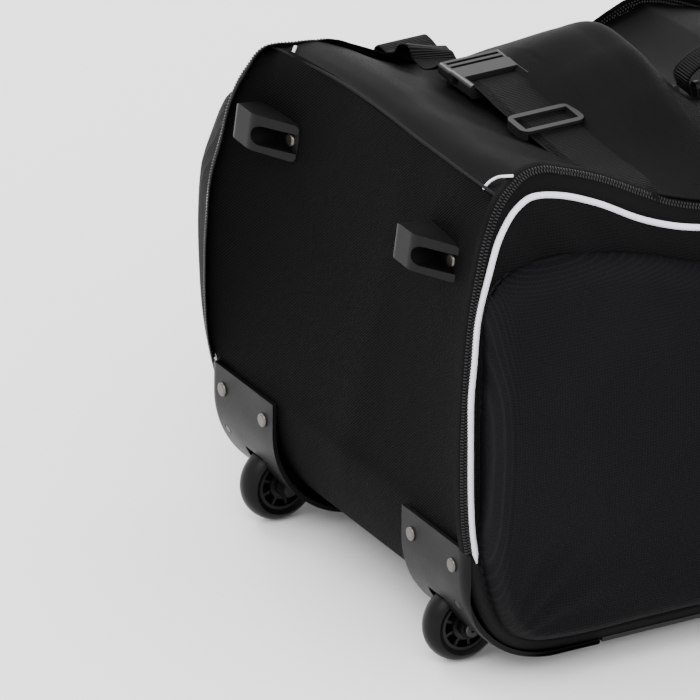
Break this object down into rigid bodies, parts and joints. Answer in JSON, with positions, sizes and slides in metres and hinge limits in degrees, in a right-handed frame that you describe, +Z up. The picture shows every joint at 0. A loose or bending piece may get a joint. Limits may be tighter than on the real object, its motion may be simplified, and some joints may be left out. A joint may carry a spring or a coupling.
{
  "type": "rolling duffel bag",
  "caption": "Long black wheeled duffel with drop-down zipped side flaps, outer pockets, compression straps, corner wheels and a telescopic handle.",
  "frame": {"origin": "on the floor under the middle of the bag", "axes": "+X from the wheel end to the handle end, +Y from the near side to the far side, +Z up"},
  "size_m": [0.86, 0.5214, 0.4625],
  "materials": {
    "shell_fabric": "fine twill polyester, black",
    "side_fabric": "grid-textured ripstop polyester, near black",
    "board": "plain polypropylene board",
    "housing_plastic": "fine-grained moulded plastic, black",
    "foot_plastic": "semi-gloss moulded plastic, black",
    "rivet_metal": "warm satin nickel",
    "bolt_steel": "bright zinc plate",
    "tube_aluminium": "satin anodised",
    "grip_rubber": "soft-touch rubber, black",
    "zip_tape": "black coil zipper on woven tape",
    "zip_metal": "black enamelled die-cast zinc",
    "webbing": "ribbed polypropylene webbing, black",
    "buckle_plastic": "glossy acetal, black",
    "piping_white": "smooth vinyl-covered cord, cool white",
    "wheel_rubber": "semi-gloss polyurethane, black",
    "hub_plastic": "moulded nylon, black"
  },
  "bodies": {
    "body": {"base_board": "board", "base_panel": "shell_fabric", "wheel_end_panel": "shell_fabric", "wheel_end_board": "board", "handle_end_panel": "shell_fabric", "handle_end_board": "board", "top_panel": "shell_fabric", "wheel_housing_near": "housing_plastic", "wheel_housing_far": "housing_plastic", "rivets": "rivet_metal", "screws": "bolt_steel", "axle_bolts": "bolt_steel", "axle_nuts": "bolt_steel", "stand_foot_near": "foot_plastic", "stand_foot_far": "foot_plastic", "skid_rail_near": "housing_plastic", "skid_rail_far": "housing_plastic", "handle_outer_tubes": "tube_aluminium", "handle_bracket": "housing_plastic", "handle_bezel": "housing_plastic", "handle_tunnel_cover": "housing_plastic", "flap_zipper_near": "zip_tape", "flap_zipper_far": "zip_tape", "strap_near_front": "webbing", "strap_near_rear": "webbing", "strap_far_front": "webbing", "strap_far_rear": "webbing", "buckle_socket_front": "buckle_plastic", "buckle_socket_rear": "buckle_plastic", "handle_anchors": "foot_plastic"},
    "wheel_near": {"wheel_tyre_near": "wheel_rubber", "wheel_hub_near": "hub_plastic", "wheel_bearings_near": "bolt_steel"},
    "flap_near": {"flap_panel_near": "side_fabric", "flap_piping_near": "piping_white", "pocket_near": "side_fabric", "pocket_zipper_near": "zip_tape"},
    "zip_slider_near": {"zip_slider_near": "zip_metal"},
    "zip_pull_near": {"zip_pull_near": "zip_metal"},
    "pocket_slider_near": {"pocket_slider_near": "zip_metal"},
    "wheel_far": {"wheel_tyre_far": "wheel_rubber", "wheel_hub_far": "hub_plastic", "wheel_bearings_far": "bolt_steel"},
    "flap_far": {"flap_panel_far": "side_fabric", "flap_piping_far": "piping_white", "pocket_far": "side_fabric", "pocket_zipper_far": "zip_tape"},
    "zip_slider_far": {"zip_slider_far": "zip_metal"},
    "zip_pull_far": {"zip_pull_far": "zip_metal"},
    "pocket_slider_far": {"pocket_slider_far": "zip_metal"},
    "handle_middle": {"handle_middle_tubes": "tube_aluminium"},
    "handle_inner": {"handle_inner_tubes": "tube_aluminium", "handle_grip": "grip_rubber"},
    "handle_button": {"handle_button": "buckle_plastic"},
    "buckle_front": {"buckle_plug_front": "buckle_plastic"},
    "glide_front": {"strap_slider_front": "buckle_plastic"},
    "buckle_rear": {"buckle_plug_rear": "buckle_plastic"},
    "glide_rear": {"strap_slider_rear": "buckle_plastic"},
    "haul_handle": {"haul_handle": "grip_rubber"},
    "grab_handle": {"grab_handle": "grip_rubber"}
  },
  "joints": [
    {"name": "wheel_near_spin", "type": "hinge", "parent": "body", "child": "wheel_near", "pos_m": [-0.394, -0.16, 0.036], "axis": [0, 1, 0], "continuous": true},
    {"name": "flap_near_fold", "type": "hinge", "parent": "body", "child": "flap_near", "pos_m": [0, -0.226, 0.017], "axis": [1, 0, 0], "range_deg": [0, 75]},
    {"name": "zip_near_slide", "type": "slide", "parent": "body", "child": "zip_slider_near", "axis": [1, 0, 0], "range_m": [-0.08, 0.05]},
    {"name": "zip_pull_near_swing", "type": "hinge", "parent": "zip_slider_near", "child": "zip_pull_near", "pos_m": [0.006, -0.2148, 0.391], "axis": [0, 0, -1], "range_deg": [0, 165]},
    {"name": "pocket_near_slide", "type": "slide", "parent": "flap_near", "child": "pocket_slider_near", "axis": [1, 0, 0], "range_m": [-0.16, 0.16]},
    {"name": "wheel_far_spin", "type": "hinge", "parent": "body", "child": "wheel_far", "pos_m": [-0.394, 0.16, 0.036], "axis": [0, 1, 0], "continuous": true},
    {"name": "flap_far_fold", "type": "hinge", "parent": "body", "child": "flap_far", "pos_m": [0, 0.226, 0.017], "axis": [-1, 0, 0], "range_deg": [0, 75]},
    {"name": "zip_far_slide", "type": "slide", "parent": "body", "child": "zip_slider_far", "axis": [1, 0, 0], "range_m": [-0.08, 0.05]},
    {"name": "zip_pull_far_swing", "type": "hinge", "parent": "zip_slider_far", "child": "zip_pull_far", "pos_m": [0.006, 0.2148, 0.391], "axis": [0, 0, 1], "range_deg": [0, 165]},
    {"name": "pocket_far_slide", "type": "slide", "parent": "flap_far", "child": "pocket_slider_far", "axis": [1, 0, 0], "range_m": [-0.16, 0.16]},
    {"name": "handle_lower_slide", "type": "slide", "parent": "body", "child": "handle_middle", "axis": [1, 0, 0], "range_m": [0, 0.3]},
    {"name": "handle_upper_slide", "type": "slide", "parent": "handle_middle", "child": "handle_inner", "axis": [1, 0, 0], "range_m": [0, 0.3]},
    {"name": "handle_button_press", "type": "slide", "parent": "handle_inner", "child": "handle_button", "axis": [-1, 0, 0], "range_m": [0, 0.003], "stiffness_N_per_m": 600},
    {"name": "buckle_front_release", "type": "slide", "parent": "body", "child": "buckle_front", "axis": [0, 1, 0], "range_m": [0, 0.028]},
    {"name": "strap_front_adjust", "type": "slide", "parent": "body", "child": "glide_front", "axis": [0, 0.9988, 0.0485], "range_m": [-0.025, 0.025]},
    {"name": "buckle_rear_release", "type": "slide", "parent": "body", "child": "buckle_rear", "axis": [0, 1, 0], "range_m": [0, 0.028]},
    {"name": "strap_rear_adjust", "type": "slide", "parent": "body", "child": "glide_rear", "axis": [0, 0.9988, 0.0485], "range_m": [-0.025, 0.025]},
    {"name": "haul_handle_swing", "type": "hinge", "parent": "body", "child": "haul_handle", "pos_m": [0, 0, 0.4074], "axis": [1, 0, 0], "range_deg": [-60, 60]},
    {"name": "grab_handle_swing", "type": "hinge", "parent": "body", "child": "grab_handle", "pos_m": [0.4175, 0, 0.33], "axis": [0, -1, 0], "range_deg": [0, 100]}
  ]
}
